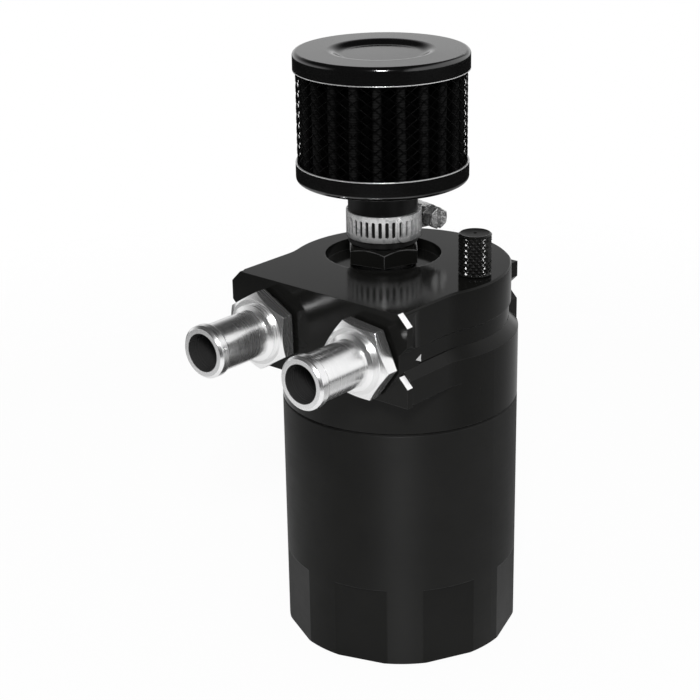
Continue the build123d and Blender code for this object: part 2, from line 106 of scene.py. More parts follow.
class NodeGraph:
    """Nodes of one tree, with short names for the steps that materials and the world share."""

    def __init__(self, tree: bpy.types.NodeTree) -> None:
        """Start with an empty tree.

        Args:
            tree: node tree to fill.
        """
        self.tree = tree
        tree.nodes.clear()

    def feed(self, socket: Socket, value: object) -> None:
        """Link an output to an input, or set the input to a plain value.

        Args:
            socket: the input.
            value: output socket or plain value.
        """
        if isinstance(value, Socket):
            self.tree.links.new(value, socket)
        else:
            socket.default_value = value

    def node(self, kind: str, inputs: dict | None = None, **settings: object) -> bpy.types.Node:
        """Add one node.

        Args:
            kind: type of the node.
            inputs: values or output sockets for its inputs, by name or place.
            settings: properties of the node.

        Returns:
            The new node.
        """
        node = self.tree.nodes.new(kind)
        for name, value in settings.items():
            setattr(node, name, value)
        for name, value in (inputs or {}).items():
            self.feed(node.inputs[name], value)
        return node

    def combine(self, operation: str, first: object, second: object) -> Socket:
        """Arithmetic on two values."""
        return self.node("ShaderNodeMath", {0: first, 1: second}, operation=operation).outputs[0]

    def measure(self, operation: str, first: Socket, second: Point = (0.0, 0.0, 0.0)) -> Socket:
        """Number from vectors, such as a length, a distance or a product."""
        node = self.node("ShaderNodeVectorMath", {0: first, 1: second}, operation=operation)
        return node.outputs["Value"]

    def ramp(self, value: Socket, span: Pair, result: Pair = FULL, **settings: object) -> Socket:
        """Map a value from one range to another.

        Args:
            value: socket with the value.
            span: range that it comes from; beyond it, the result stays at its ends.
            result: range that it goes to.
            settings: properties of the node.

        Returns:
            The mapped value.
        """
        inputs = {"Value": value, "From Min": span[0], "From Max": span[1]}
        inputs |= {"To Min": result[0], "To Max": result[1]}
        return self.node("ShaderNodeMapRange", inputs, **settings).outputs["Result"]


class ShaderGraph(NodeGraph):
    """Nodes of one material."""

    def __init__(self, name: str) -> None:
        """Start a material with one surface shader.

        Args:
            name: name of the material.
        """
        self.material = bpy.data.materials.new(name)
        self.material.use_nodes = True
        super().__init__(self.material.node_tree)
        self.output = self.node("ShaderNodeOutputMaterial")
        self.shader = self.node("ShaderNodeBsdfPrincipled")
        self.here = self.node("ShaderNodeTexCoord").outputs["Object"]
        self.show(self.shader.outputs["BSDF"])

    def show(self, surface: Socket) -> None:
        """Make a shader the surface of the material."""
        self.tree.links.new(surface, self.output.inputs["Surface"])

    def set(self, **values: object) -> None:
        """Set or link inputs of the surface shader; an underscore in a name stands for a space."""
        for name, value in values.items():
            self.feed(self.shader.inputs[name.replace("_", " ")], value)

    def fed(self, name: str) -> Socket:
        """Socket that feeds an input of the surface shader."""
        return self.shader.inputs[name].links[0].from_socket

    def place(self, stretch: Point, shift: Point = (0.0, 0.0, 0.0)) -> Socket:
        """Object coordinates, stretched along each axis and then shifted."""
        inputs = {"Vector": self.here, "Scale": stretch, "Location": shift}
        return self.node("ShaderNodeMapping", inputs).outputs["Vector"]

    def radius(self, centre: Pair) -> Socket:
        """Distance from an upright axis through a place given in millimetres."""
        shift = (-centre[0] * MM, -centre[1] * MM, 0.0)
        return self.measure("LENGTH", self.place((1, 1, 0), shift))

    def noise(self, scale: float, stretch: Point = (1, 1, 1), detail: float = 3.0) -> Socket:
        """Cloudy pattern.

        Args:
            scale: cells per metre.
            stretch: scale factors along the three axes.
            detail: number of finer layers.

        Returns:
            Value from 0 to 1.
        """
        inputs = {"Vector": self.place(stretch), "Scale": scale, "Detail": detail}
        return self.node("ShaderNodeTexNoise", inputs).outputs["Fac"]

    def mix(self, factor: Socket, first: object, second: object) -> Socket:
        """Blend two colours by the share of the second one."""
        node = self.node("ShaderNodeMix", {0: factor, 6: first, 7: second}, data_type="RGBA")
        return node.outputs[2]

    def rounded_edges(self, radius: float) -> Socket:
        """Surface direction with edges rounded by a radius in millimetres."""
        node = self.node("ShaderNodeBevel", {"Radius": radius * MM}, samples=BEVEL_SAMPLES)
        return node.outputs["Normal"]

    def edge_mask(self, rounded: Socket, reach: float) -> Socket:
        """Mask that is 1 on sharp edges.

        Args:
            rounded: surface direction with rounded edges.
            reach: how far the direction turns where the mask is full.

        Returns:
            Value from 0 to 1.
        """
        plain = self.node("ShaderNodeNewGeometry").outputs["Normal"]
        agreement = self.measure("DOT_PRODUCT", rounded, plain)
        return self.ramp(agreement, (1.0 - reach, FLAT), (1.0, 0.0))

    def bump(self, height: Socket, share: float, depth: float, normal: Socket | None = None) -> Socket:
        """Relief.

        Args:
            height: socket with the height from 0 to 1.
            share: share of the relief that shows.
            depth: full depth in millimetres.
            normal: surface direction to start from.

        Returns:
            Surface direction with the relief.
        """
        inputs = {"Height": height, "Strength": share, "Distance": depth * MM}
        if normal is not None:
            inputs["Normal"] = normal
        return self.node("ShaderNodeBump", inputs).outputs["Normal"]


@dataclass(frozen=True)
class Finish:
    """One surface finish; its material is made once and shared."""

    name: str
    slot: Slot

    def material(self) -> bpy.types.Material:
        """Give the finish's material, made at its first use.

        Returns:
            The material.
        """
        found = bpy.data.materials.get(self.name)
        if found:
            return found
        graph = ShaderGraph(self.name)
        self.paint(graph)
        return graph.material

    def paint(self, graph: ShaderGraph) -> None:
        """Set the surface; each kind of finish has its own."""
        raise NotImplementedError


@dataclass(frozen=True)
class BlackAnodised(Finish):
    """Dyed anodised aluminium with faint tool marks, cloudy gloss and smoother edges, paler in patches
    as part wear and part painted highlight.
    """

    slot: Slot = Slot.BLACK
    level: float = 0.013
    mottle: float = 0.18
    warmth: float = 0.93
    gloss: Pair = (0.14, 0.26)
    ior: float = 1.17
    edge_wear_glint: float = 0.05
    edge_round: float = 0.22
    edge_reach: float = 0.3
    edge_gloss: float = 0.4
    grain: Grain = Grain.Z
    mark_scale: float = 5200.0
    mark_share: float = 0.35
    mark_depth: float = 0.005
    cloud_scale: float = 38.0
    haze_scale: float = 120.0
    wear_glint_scale: float = 260.0
    wear_glint_span: Pair = (0.35, 0.65)
    wear_glint_share: Pair = (0.25, 1.0)

    def paint(self, graph: ShaderGraph) -> None:
        """Set the surface.

        Args:
            graph: nodes of the material.
        """
        rounded = graph.rounded_edges(self.edge_round)
        edge = graph.edge_mask(rounded, self.edge_reach)
        # Edges are paler in patches: partly worn bare metal, partly painted highlight.
        wear_glint = graph.ramp(graph.noise(self.wear_glint_scale), self.wear_glint_span, self.wear_glint_share)
        cloud = graph.ramp(graph.noise(self.cloud_scale), NOISE)
        dark = grey(self.level * (1 - self.mottle), self.warmth)
        light = grey(self.level * (1 + self.mottle), self.warmth)
        dyed = graph.mix(cloud, dark, light)
        marks = graph.noise(self.mark_scale, self.grain.value, detail=2.0)
        both = graph.combine("ADD", marks, graph.noise(self.haze_scale, detail=4.0))
        rough = graph.ramp(both, TWO_NOISES, self.gloss)
        rubbed = graph.ramp(edge, FULL, (1.0, self.edge_gloss))
        graph.set(
            Base_Color=graph.mix(graph.combine("MULTIPLY", edge, wear_glint), dyed, grey(self.edge_wear_glint)),
            Roughness=graph.combine("MULTIPLY", rough, rubbed),
            IOR=self.ior,
            Normal=graph.bump(marks, self.mark_share, self.mark_depth, rounded),
        )


@dataclass(frozen=True)
class TurnedBlack(BlackAnodised):
    """Black anodised piece whose fine turning grooves draw highlights out along its axis."""

    level: float = 0.006
    gloss: Pair = (0.57, 0.63)
    ior: float = 1.3
    edge_round: float = 0.35
    edge_gloss: float = 0.3
    spread: float = 0.78
    groove_turn: float = 0.25
    shine: float = 0.5
    centre: Pair = (0.0, 0.0)
    turned_radius: Pair = (37.9, 37.98)
    inner_gloss: float = 0.78
    inner_shine: float = 0.28

    def paint(self, graph: ShaderGraph) -> None:
        """Set the surface; faces inside the turned radius have no grooves and a gloss of their own.

        Args:
            graph: nodes of the material.
        """
        super().paint(graph)
        reach = graph.radius(self.centre)
        span = metres(self.turned_radius)
        inner = graph.ramp(reach, span, (self.inner_gloss, 1.0))
        around = graph.node("ShaderNodeTangent", direction_type="RADIAL", axis="Z")
        graph.set(
            Roughness=graph.combine("MULTIPLY", graph.fed("Roughness"), inner),
            Specular_IOR_Level=graph.ramp(reach, span, (self.inner_shine, self.shine)),
            Anisotropic=graph.ramp(reach, span, (0.0, self.spread)),
            Anisotropic_Rotation=self.groove_turn,
            Tangent=around.outputs["Tangent"],
        )


@dataclass(frozen=True)
class BareMetal(Finish):
    """Bright machined metal with turning marks and uneven gloss, duller in streaks and patches."""

    slot: Slot = Slot.ALUMINIUM
    level: Colour = (0.95, 0.95, 0.95, 1.0)
    dull: Colour = (0.87, 0.87, 0.875, 1.0)
    gloss: Pair = (0.13, 0.20)
    metallic: float = 0.95
    edge_round: float = 0.16
    grain: Grain = Grain.Y
    mark_scale: float = 2600.0
    mark_share: float = 0.5
    mark_depth: float = 0.0012
    streak_scale: float = 420.0
    cloud_scale: float = 90.0

    def paint(self, graph: ShaderGraph) -> None:
        """Set the surface.

        Args:
            graph: nodes of the material.
        """
        rounded = graph.rounded_edges(self.edge_round)
        marks = graph.noise(self.mark_scale, self.grain.value)
        streaks = graph.noise(self.streak_scale, self.grain.value, detail=2.0)
        both = graph.combine("ADD", streaks, graph.noise(self.cloud_scale))
        graph.set(
            Base_Color=graph.mix(graph.ramp(both, TWO_NOISES), self.dull, self.level),
            Metallic=self.metallic,
            Roughness=graph.ramp(marks, NOISE, self.gloss),
            Normal=graph.bump(marks, self.mark_share, self.mark_depth, rounded),
        )


@dataclass(frozen=True)
class TurnedFitting(BareMetal):
    """Bright turned fittings whose bores are painted dark as shade; the two stand side by side."""

    gloss: Pair = (0.20, 0.29)
    metallic: float = 0.96
    spacing: float = 20.0
    axis_height: float = 108.8
    bore: Pair = (6.0, 6.2)
    painted_shade: float = 0.03

    def paint(self, graph: ShaderGraph) -> None:
        """Set the surface; inside the bores it is painted dark as shade, and matt.

        Args:
            graph: nodes of the material.
        """
        super().paint(graph)
        beside = {0: graph.place((1, 0, 1))}
        either = graph.node("ShaderNodeVectorMath", beside, operation="ABSOLUTE").outputs["Vector"]
        axis = (self.spacing * MM, 0.0, self.axis_height * MM)
        reach = graph.measure("DISTANCE", either, axis)
        span = metres(self.bore)
        inside = graph.ramp(reach, span, (1.0, 0.0))
        # Painted shade: the bores are darkened in their colour.
        graph.set(
            Base_Color=graph.mix(inside, graph.fed("Base Color"), grey(self.painted_shade)),
            Metallic=graph.ramp(reach, span, (0.0, self.metallic)),
        )


@dataclass(frozen=True)
class ZincSteel(Finish):
    """Bright zinc plated strip with a mottled sheen, fine scratches and painted shade along its lower
    edge.
    """

    slot: Slot = Slot.STEEL
    light: Colour = (1.0, 1.0, 1.0, 1.0)
    dark: Colour = (0.62, 0.63, 0.64, 1.0)
    gloss: Pair = (0.13, 0.34)
    metallic: float = 0.2
    edge_round: float = 0.3
    spangle_scale: float = 900.0
    spangle_span: Pair = (0.45, 1.05)
    cloud_scale: float = 240.0
    dent: float = 0.45
    dent_scale: float = 420.0
    dent_share: float = 0.5
    scratch: float = 0.02
    scratch_scale: float = 1800.0
    scratch_share: float = 0.4
    scratch_run: Point = (1.0, 1.0, 0.05)
    shade_height: Pair = (130.6, 138.4)
    shade_level: float = 0.01
    painted_shade: float = 0.12

    def paint(self, graph: ShaderGraph) -> None:
        """Set the surface.

        Args:
            graph: nodes of the material.
        """
        rounded = graph.rounded_edges(self.edge_round)
        inputs = {"Vector": graph.here, "Scale": self.spangle_scale}
        cells = graph.node("ShaderNodeTexVoronoi", inputs).outputs["Color"]
        spangle = graph.node("ShaderNodeSeparateColor", {"Color": cells}).outputs[0]
        cloud = graph.noise(self.cloud_scale, detail=5.0)
        both = graph.ramp(graph.combine("ADD", spangle, cloud), self.spangle_span)
        height = graph.node("ShaderNodeSeparateXYZ", {"Vector": graph.here}).outputs["Z"]
        # Painted shade and dark reflection: the colour darkens towards the lower edge.
        unshaded = graph.ramp(height, metres(self.shade_height), (self.painted_shade, 1.0))
        hollows = graph.noise(self.dent_scale, detail=2.0)
        dents = graph.bump(hollows, self.dent_share, self.dent, rounded)
        scratches = graph.noise(self.scratch_scale, self.scratch_run, detail=2.0)
        graph.set(
            Base_Color=graph.mix(unshaded, grey(self.shade_level), graph.mix(both, self.dark, self.light)),
            Metallic=self.metallic,
            Roughness=graph.ramp(cloud, NOISE, self.gloss),
            Normal=graph.bump(scratches, self.scratch_share, self.scratch, dents),
        )


@dataclass(frozen=True)
class Mottled(Finish):
    """Surface with a fine relief, whose colour and gloss vary with one cloudy pattern."""

    levels: Pair = (0.006, 0.011)
    gloss: Pair = (0.30, 0.46)
    ior: float = 1.4
    edge_round: float = 0.3
    cloud_scale: float = 150.0
    cloud_detail: float = 3.0
    colour_span: Pair = (0.45, 0.75)
    gloss_span: Pair = (0.45, 0.75)
    relief_scale: float = 3600.0
    relief_detail: float = 2.0
    relief_share: float = 0.35
    relief_depth: float = 0.03

    def paint(self, graph: ShaderGraph) -> None:
        """Set the surface.

        Args:
            graph: nodes of the material.
        """
        cloud = graph.noise(self.cloud_scale, detail=self.cloud_detail)
        relief = graph.noise(self.relief_scale, detail=self.relief_detail)
        rounded = graph.rounded_edges(self.edge_round) if self.edge_round else None
        first, second = (grey(level) for level in self.levels)
        graph.set(
            Base_Color=graph.mix(graph.ramp(cloud, self.colour_span), first, second),
            Roughness=graph.ramp(cloud, self.gloss_span, self.gloss),
            IOR=self.ior,
            Normal=graph.bump(relief, self.relief_share, self.relief_depth, rounded),
        )


@dataclass(frozen=True)
class FilterGauze(Finish):
    """Dark cotton gauze with its weave, painted darker in the folds as shade and lighter on the crests.
    """

    slot: Slot = Slot.PAPER
    crest_level: float = 0.011
    fold_shade_level: float = 0.0004
    gloss: Pair = (0.7, 0.95)
    ior: float = 1.1
    centre: Pair = (-9.3, 3.4)
    fold_shade_span: Pair = (24.2, 25.7)
    thread_pitch: float = 0.8
    thread_sway: float = 1.5
    fibre_scale: float = 2200.0
    stain_scale: float = 70.0
    cloth_span: Pair = (0.4, 1.1)
    cloth_share: Pair = (0.2, 1.0)
    weave_share: float = 0.6
    weave_depth: float = 0.12

    def paint(self, graph: ShaderGraph) -> None:
        """Set the surface.

        Args:
            graph: nodes of the material.
        """
        rate = TURN / (WAVE_RATE * self.thread_pitch * MM)
        inputs = {"Vector": graph.here, "Scale": rate, "Distortion": self.thread_sway}
        rows = graph.node("ShaderNodeTexWave", inputs, bands_direction="Z").outputs["Fac"]
        weave = graph.combine("MULTIPLY", rows, graph.noise(self.fibre_scale, detail=4.0))
        stain = graph.noise(self.stain_scale, detail=4.0)
        cloth = graph.ramp(graph.combine("ADD", weave, stain), self.cloth_span, self.cloth_share)
        # Painted shade: the colour darkens from the crests into the folds.
        crest = graph.ramp(graph.radius(self.centre), metres(self.fold_shade_span))
        share = graph.combine("MULTIPLY", crest, cloth)
        graph.set(
            Base_Color=graph.mix(share, grey(self.fold_shade_level), grey(self.crest_level)),
            Roughness=graph.ramp(stain, NOISE, self.gloss),
            IOR=self.ior,
            Normal=graph.bump(weave, self.weave_share, self.weave_depth),
        )


CUP_BLACK = TurnedBlack("cup_black")
HEAD_BLACK = BlackAnodised(
    "head_black", level=0.006, gloss=(0.09, 0.16), ior=1.23, grain=Grain.NONE, mark_depth=0.002
)
# Its paler edges are mostly painted highlight, partly wear.
ADAPTER_BLACK = BlackAnodised(
    "adapter_black", level=0.006, gloss=(0.08, 0.16), ior=1.5, grain=Grain.NONE, mark_depth=0.002,
    edge_wear_glint=0.14, edge_round=0.5, edge_reach=0.2,
)
KNOB_BLACK = TurnedBlack(
    "knob_black", level=0.005, gloss=(0.13, 0.22), ior=1.34, grain=Grain.NONE, spread=0.0,
    edge_wear_glint=0.015, edge_round=0.05, edge_gloss=0.4,
    centre=(27.0, 4.2), turned_radius=(4.45, 4.6), inner_gloss=2.8, inner_shine=0.5,
)
TURNED = TurnedFitting("turned_aluminium")
BAFFLE = BareMetal("sheet_aluminium", gloss=(0.25, 0.4), grain=Grain.X, mark_depth=0.01)
MILLED = BareMetal(
    "milled_facet", level=grey(0.97), dull=grey(0.9), gloss=(0.35, 0.5), metallic=0.25
)
CUT_EDGE = BareMetal("cut_edge", slot=Slot.CAP, gloss=(0.25, 0.4), metallic=0.8, grain=Grain.NONE)
ROD_STEEL = BareMetal(
    "drawn_rod", slot=Slot.STEEL, level=grey(0.66), dull=grey(0.52), gloss=(0.14, 0.3),
    grain=Grain.Z, mark_depth=0.01,
)
ZINC = ZincSteel("bright_zinc")
POLISHED = ZincSteel(
    "polished_zinc", dark=grey(0.4), gloss=(0.1, 0.28), metallic=0.88, dent=0.6, painted_shade=0.9
)
RUBBER = Mottled("sleeve_rubber", Slot.RUBBER)
SEAL = Mottled("seal_rubber", Slot.RUBBER, levels=(0.004, 0.008), gloss=(0.26, 0.38))
# Deep gloss enamel on pressed sheet, with a slight orange peel.
ENAMEL = Mottled(
    "cap_enamel", Slot.CAP, levels=(0.0018, 0.0042), gloss=(0.11, 0.17), ior=1.75, edge_round=0.25,
    cloud_scale=45.0, cloud_detail=4.0, colour_span=FULL, gloss_span=NOISE,
    relief_scale=700.0, relief_detail=1.0, relief_share=0.08, relief_depth=0.02,
)
# Coated wire, rubbed on its high spots.
WIRE = Mottled(
    "mesh_wire", Slot.MESH, levels=(0.0007, 0.002), gloss=(0.3, 0.48), ior=1.1, edge_round=0.0,
    cloud_scale=500.0, colour_span=(0.5, 0.8), gloss_span=(0.5, 0.8),
    relief_scale=4000.0, relief_detail=3.0, relief_share=0.3, relief_depth=0.02,
)
GAUZE = FilterGauze("pleat_gauze")
# Pale laser mark, slightly speckled and without relief.
ETCHED = Mottled(
    "arrow_etch", Slot.BLACK, levels=(0.42, 0.62), gloss=(0.5, 0.75), ior=1.5, edge_round=0.0,
    cloud_scale=9000.0, cloud_detail=2.0, colour_span=FULL, gloss_span=NOISE, relief_share=0.0,
)


class Piece:
    """Points and faces of one new piece, in millimetres of the can's frame."""

    def __init__(self, name: str) -> None:
        """Start an empty piece.

        Args:
            name: name of the piece.
        """
        self.name = name
        self.points: list[Point] = []
        self.faces: list[tuple[int, ...]] = []

    def row(self, points: list[Point]) -> list[int]:
        """Add a row of points and give their numbers."""
        self.points.extend(points)
        return list(range(len(self.points) - len(points), len(self.points)))

    def skin(self, rows: list[list[int]], closed: bool = True, looped: bool = False) -> None:
        """Join rows of points by quads.

        Args:
            rows: rows of the same length.
            closed: whether each row runs round.
            looped: whether the last row joins the first.
        """
        pairs = list(zip(rows, rows[1:]))
        if looped:
            pairs.append((rows[-1], rows[0]))
        for low, high in pairs:
            count = len(low)
            for place in range(count if closed else count - 1):
                after = (place + 1) % count
                self.faces.append((low[place], low[after], high[after], high[place]))

    def cover(self, row: list[int], flip: bool = False) -> None:
        """Close a row with one face."""
        self.faces.append(tuple(reversed(row)) if flip else tuple(row))

    def make(self, finish: Finish, body: Body, sharp: float = 35.0) -> bpy.types.Object:
        """Make the object, give it its finish and fix it to its body.

        Args:
            finish: finish of the whole piece.
            body: body that carries it.
            sharp: angle in degrees above which an edge stays sharp.

        Returns:
            The new object.
        """
        points = [tuple(value * MM for value in point) for point in self.points]
        mesh = bpy.data.meshes.new(self.name)
        mesh.from_pydata(points, [], self.faces)
        mesh.validate()
        mesh.shade_smooth()
        mesh.set_sharp_from_angle(angle=math.radians(sharp))
        mesh.materials.append(finish.material())
        return fix(bpy.data.objects.new(self.name, mesh), body)


def fix(piece: bpy.types.Object, body: Body) -> bpy.types.Object:
    """Fix a new piece to the body that carries it.

    Args:
        piece: the new object.
        body: body that carries it.

    Returns:
        The same object.
    """
    bpy.context.scene.collection.objects.link(piece)
    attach(piece, body.value)
    log.info("%s: %d faces on %s", piece.name, len(piece.data.polygons), body.value)
    return piece


def dress(finish: Finish, *nodes: str) -> None:
    """Give CAD nodes a finish.

    Args:
        finish: finish for all of them.
        nodes: names of the nodes.
    """
    for name in nodes:
        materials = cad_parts[name].data.materials
        if materials:
            materials[0] = finish.material()
        else:
            materials.append(finish.material())
        log.info("%s: %s", name, finish.name)


@dataclass
class Thread:
    """Shallow screw thread on a cylinder about an upright axis; a negative height points inwards."""

    name: str
    body: Body
    finish: Finish
    radius: float
    bottom: float
    top: float
    height: float
    pitch: float = 1.5
    centre: Pair = (0.0, 0.0)
    steps: int = 160
    corners: tuple[float, ...] = (0.0, 0.82, 0.52, 0.30)  # two of its foot, two of its crest, in pitches
    sink: float = 0.02
    end_rise: float = 6.0
    sharp: float = 20.0

    def build(self) -> bpy.types.Object:
        """Wind the ridge, which rises and falls gently at its ends.

        Returns:
            The ridge.
        """
        piece = Piece(self.name)
        count = int((self.top - self.bottom - self.pitch) / self.pitch * self.steps)
        root = self.radius - math.copysign(self.sink, self.height)
        rows = []
        for step in range(count + 1):
            turns = step / self.steps
            rise = min(1.0, self.end_rise * min(step, count - step) / self.steps)
            tip = self.radius + self.height * rise
            rows.append(piece.row([
                polar(self.centre, radius, TURN * turns, self.bottom + self.pitch * (turns + share))
                for radius, share in zip((root, root, tip, tip), self.corners)
            ]))
        piece.skin(rows)
        piece.cover(rows[0], flip=self.height < 0)
        piece.cover(rows[-1], flip=self.height > 0)
        return piece.make(self.finish, self.body, self.sharp)


@dataclass
class CanBody:
    """Cup and head: their finish, the screw thread between them, bright facets and the flow arrow."""

    spigot_radius: float = 34.4
    spigot_thread: Pair = (69.5, 76.5)
    mouth_radius: float = 34.7
    mouth_thread: Pair = (66.4, 74.8)
    thread_height: float = 0.12
    plate_front: float = -39.2
    plate_back: float = -36.7
    facet_inset: float = 0.05
    facet_lift: float = 0.03
    facet_hatch: int = 9
    facet_sharp: float = 10.0
    corner_top: Pair = (32.0, 124.4)
    corner_bottom: Pair = (35.6, 120.8)
    notch_top: Pair = (32.4, 104.8)
    notch_bottom: Pair = (35.6, 101.6)
    arrow_side: float = 32.4
    arrow_sunk: float = 0.02
    arrow_proud: float = 0.03
    arrow_tip: Pair = (-31.4, 108.0)
    arrow_length: float = 2.5
    arrow_notch: float = 0.96
    arrow_half: float = 1.15

    def build(self) -> None:
        """Dress the CAD nodes and add what they carry."""
        dress(CUP_BLACK, "cup")
        dress(HEAD_BLACK, "head")
        dress(ADAPTER_BLACK, "breather_adapter")
        seals = ("cup_o_ring", "inlet_o_ring", "outlet_o_ring", "breather_o_ring", "dipstick_o_ring")
        dress(SEAL, *seals)
        dress(BAFFLE, "baffle_plate")
        Thread(
            "spigot_thread", Body.HEAD, HEAD_BLACK, self.spigot_radius, *self.spigot_thread,
            height=self.thread_height,
        ).build()
        Thread(
            "mouth_thread", Body.CUP, CUP_BLACK, self.mouth_radius, *self.mouth_thread,
            height=-self.thread_height,
        ).build()
        self.facets()
        self.arrow()

    def facets(self) -> bpy.types.Object:
        """Bright milled faces on the plate's cut corners, each with a row of fine cutter ridges.

        Returns:
            The facets of both sides as one piece.
        """
        piece = Piece("plate_facets")
        for side in (-1, 1):
            self.facet(piece, side, self.corner_bottom, self.corner_top)
            self.facet(piece, side, self.notch_bottom, self.notch_top)
        return piece.make(MILLED, Body.HEAD, self.facet_sharp)

    def facet(self, piece: Piece, side: int, bottom: Pair, top: Pair) -> None:
        """Add one facet.

        Args:
            piece: piece to add to.
            side: -1 for the left facet, 1 for the right one.
            bottom: distance from the middle and height of its lower edge.
            top: distance from the middle and height of its upper edge.
        """
        run = Vector((top[0] - bottom[0], top[1] - bottom[1]))
        out = Vector((run.y, -run.x)).normalized()
        front = self.plate_front + self.facet_inset
        back = self.plate_back - self.facet_inset
        steps = 2 * self.facet_hatch
        rows = []
        for step in range(steps + 1):
            ridge = 0.0 if step in (0, steps) else self.facet_lift * (1.0 + step % 2)
            spot = Vector(bottom) + run * (step / steps) + out * ridge
            rows.append(piece.row([(side * spot.x, front, spot.y), (side * spot.x, back, spot.y)]))
        piece.skin(rows if side > 0 else rows[::-1], closed=False)

    def arrow(self) -> bpy.types.Object:
        """Small flow arrow etched on the right side of the waist.

        Returns:
            The arrow.
        """
        piece = Piece("flow_arrow")
        y, z = self.arrow_tip
        back = y + self.arrow_length
        corners = [
            (y, z),
            (back, z - self.arrow_half),
            (y + self.arrow_length * self.arrow_notch, z),
            (back, z + self.arrow_half),
        ]
        under = piece.row([(self.arrow_side - self.arrow_sunk, *corner) for corner in corners])
        over = piece.row([(self.arrow_side + self.arrow_proud, *corner) for corner in corners])
        piece.skin([under, over])
        piece.cover(over)
        return piece.make(ETCHED, Body.HEAD)


@dataclass
class HoseFittings:
    """The two bare aluminium hose fittings; their threads stop at different angles."""

    inlet: str = "inlet_fitting"
    outlet: str = "outlet_fitting"
    inlet_axis: Pair = (-20.0, 108.8)
    inlet_turn: float = math.radians(22.4)

    def build(self) -> None:
        """Dress both fittings and turn the inlet's hex upright."""
        dress(TURNED, self.inlet, self.outlet)
        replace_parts(self.turned_inlet(), self.inlet)

    def turned_inlet(self) -> bpy.types.Object:
        """Copy of the inlet fitting, turned about its own axis.

        Returns:
            The copy.
        """
        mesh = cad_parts[self.inlet].data.copy()
        centre = Matrix.Translation((self.inlet_axis[0] * MM, 0.0, self.inlet_axis[1] * MM))
        mesh.transform(centre @ Matrix.Rotation(self.inlet_turn, 4, "Y") @ centre.inverted())
        return fix(bpy.data.objects.new("turned_inlet", mesh), Body.HEAD)


